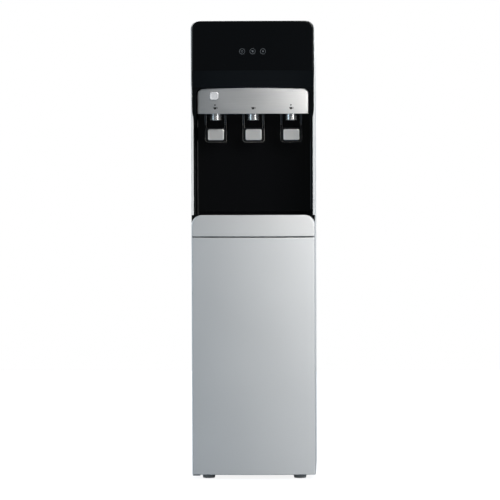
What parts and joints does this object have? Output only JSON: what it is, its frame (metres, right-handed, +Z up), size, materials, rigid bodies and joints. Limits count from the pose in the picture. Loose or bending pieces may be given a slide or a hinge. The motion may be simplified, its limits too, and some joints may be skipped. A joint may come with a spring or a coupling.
{
  "type": "water cooler",
  "caption": "Bottom load water cooler: satin silver door and fascia, glossy black head and niche, three push-lever taps under a silver shroud, drip tray and rear condenser.",
  "frame": {"origin": "middle of the footprint, on the floor under the feet", "axes": "+Z up, +X to the right seen from the front, the front (door and taps) faces -Y"},
  "size_m": [0.31, 0.36, 1.15],
  "materials": {
    "case_sheet": "pale grey powder coat",
    "back_sheet": "pale grey powder coat",
    "inner_sheet": "plain galvanised sheet",
    "base_mould": "moulded black",
    "foot_rubber": "matt black",
    "door_silver": "satin silver grey",
    "fascia_silver": "satin silver grey",
    "liner_mould": "moulded pale grey",
    "hinge_steel": "bright zinc",
    "magnet_rubber": "flexible magnet",
    "niche_black": "glossy black",
    "tray_black": "glossy black",
    "head_gloss": "piano black",
    "board": "circuit board",
    "shroud_silver": "satin metallised",
    "button_silver": "satin silver",
    "nozzle_chrome": "mirror",
    "lever_black": "glossy black",
    "plate_silver": "satin",
    "tap_mould": "food-safe white",
    "stem_steel": "turned stainless steel",
    "spring_steel": "spring wire",
    "compressor_black": "black enamel",
    "grommet_rubber": "matt black",
    "tank_steel": "drawn stainless steel",
    "foam": "rigid foam",
    "pump_black": "moulded black",
    "hose_silicone": "translucent white",
    "copper": "drawn copper",
    "condenser_black": "black enamel",
    "gland_black": "moulded black",
    "switch_red": "moulded red",
    "switch_blue": "moulded blue",
    "probe_mould": "moulded white"
  },
  "bodies": {
    "root": {"back_panel": "back_sheet", "base_pan": "base_mould", "cold_tank": "tank_steel", "compressor": "compressor_black", "compressor_grommets": "grommet_rubber", "condenser": "condenser_black", "control_board": "board", "copper_tubes": "copper", "cord_gland": "gland_black", "deck": "inner_sheet", "door_magnet": "magnet_rubber", "drain_spout": "tank_steel", "fascia": "fascia_silver", "feet": "foot_rubber", "head_mask": "head_gloss", "hinge_plates": "hinge_steel", "hot_tank": "tank_steel", "insulation": "foam", "lever_pins": "hinge_steel", "lock_spring": "spring_steel", "niche_liner": "niche_black", "nozzle_left": "nozzle_chrome", "nozzle_middle": "nozzle_chrome", "nozzle_right": "nozzle_chrome", "panel_screws": "hinge_steel", "probe_hose": "hose_silicone", "pump": "pump_black", "shroud": "shroud_silver", "side_panel_left": "case_sheet", "side_panel_right": "case_sheet", "switch_plate": "gland_black", "tank_shelf": "inner_sheet", "tap_body_left": "tap_mould", "tap_body_middle": "tap_mould", "tap_body_right": "tap_mould", "tap_housing": "niche_black", "top_cover": "case_sheet", "tray_bed": "niche_black", "valve_spring_left": "spring_steel", "valve_spring_middle": "spring_steel", "valve_spring_right": "spring_steel", "water_hoses": "hose_silicone"},
    "door": {"door_skin": "door_silver", "door_liner": "liner_mould"},
    "lever_left": {"lever_left": "lever_black", "lever_plate_left": "plate_silver"},
    "lever_middle": {"lever_middle": "lever_black", "lever_plate_middle": "plate_silver"},
    "lever_right": {"lever_right": "lever_black", "lever_plate_right": "plate_silver"},
    "stem_left": {"valve_stem_left": "stem_steel"},
    "stem_middle": {"valve_stem_middle": "stem_steel"},
    "stem_right": {"valve_stem_right": "stem_steel"},
    "lock": {"lock_button": "button_silver"},
    "tray": {"drip_tray": "tray_black"},
    "grille": {"drip_grille": "tray_black"},
    "switch_hot": {"hot_switch": "switch_red"},
    "switch_cold": {"cold_switch": "switch_blue"},
    "plug": {"drain_plug": "gland_black"},
    "bottle_probe": {"probe": "probe_mould"}
  },
  "joints": [
    {"name": "door_swing", "type": "hinge", "parent": "root", "child": "door", "pos_m": [-0.15, -0.1665, 0.3106], "axis": [0, 0, -1], "range_deg": [0, 105]},
    {"name": "lever_left_push", "type": "hinge", "parent": "root", "child": "lever_left", "pos_m": [-0.095, -0.1365, 0.956], "axis": [1, 0, 0], "range_deg": [0, 12], "stiffness_Nm_per_rad": 0.3},
    {"name": "stem_left_lift", "type": "slide", "parent": "root", "child": "stem_left", "axis": [0, 0, 1], "range_m": [0, 0.0032], "deforming": ["valve_spring_left"]},
    {"name": "lever_middle_push", "type": "hinge", "parent": "root", "child": "lever_middle", "pos_m": [0, -0.1365, 0.956], "axis": [1, 0, 0], "range_deg": [0, 12], "stiffness_Nm_per_rad": 0.3},
    {"name": "stem_middle_lift", "type": "slide", "parent": "root", "child": "stem_middle", "axis": [0, 0, 1], "range_m": [0, 0.0032], "deforming": ["valve_spring_middle"]},
    {"name": "lever_right_push", "type": "hinge", "parent": "root", "child": "lever_right", "pos_m": [0.095, -0.1365, 0.956], "axis": [1, 0, 0], "range_deg": [0, 12], "stiffness_Nm_per_rad": 0.3},
    {"name": "stem_right_lift", "type": "slide", "parent": "root", "child": "stem_right", "axis": [0, 0, 1], "range_m": [0, 0.0032], "deforming": ["valve_spring_right"]},
    {"name": "lock_push", "type": "slide", "parent": "root", "child": "lock", "axis": [0, 1, 0], "range_m": [0, 0.0025], "stiffness_N_per_m": 800, "deforming": ["lock_spring"]},
    {"name": "tray_lift", "type": "slide", "parent": "root", "child": "tray", "axis": [0, 0, 1], "range_m": [0, 0.06]},
    {"name": "grille_lift", "type": "slide", "parent": "tray", "child": "grille", "axis": [0, 0, 1], "range_m": [0, 0.04]},
    {"name": "hot_switch_tilt", "type": "hinge", "parent": "root", "child": "switch_hot", "pos_m": [0.0995, 0.1614, 1.096], "axis": [1, 0, 0], "range_deg": [0, 16]},
    {"name": "cold_switch_tilt", "type": "hinge", "parent": "root", "child": "switch_cold", "pos_m": [0.1245, 0.1614, 1.096], "axis": [1, 0, 0], "range_deg": [0, 16]},
    {"name": "drain_plug_pull", "type": "slide", "parent": "root", "child": "plug", "axis": [0, 1, 0], "range_m": [0, 0.025]},
    {"name": "probe_lift", "type": "slide", "parent": "root", "child": "bottle_probe", "axis": [0, 0, 1], "range_m": [0, 0.015], "deforming": ["probe_hose"]}
  ],
  "couplings": [
    {"joint": "stem_left_lift", "follows": "lever_left_push", "m_per_rad": 0.015},
    {"joint": "stem_middle_lift", "follows": "lever_middle_push", "m_per_rad": 0.015},
    {"joint": "stem_right_lift", "follows": "lever_right_push", "m_per_rad": 0.015}
  ]
}
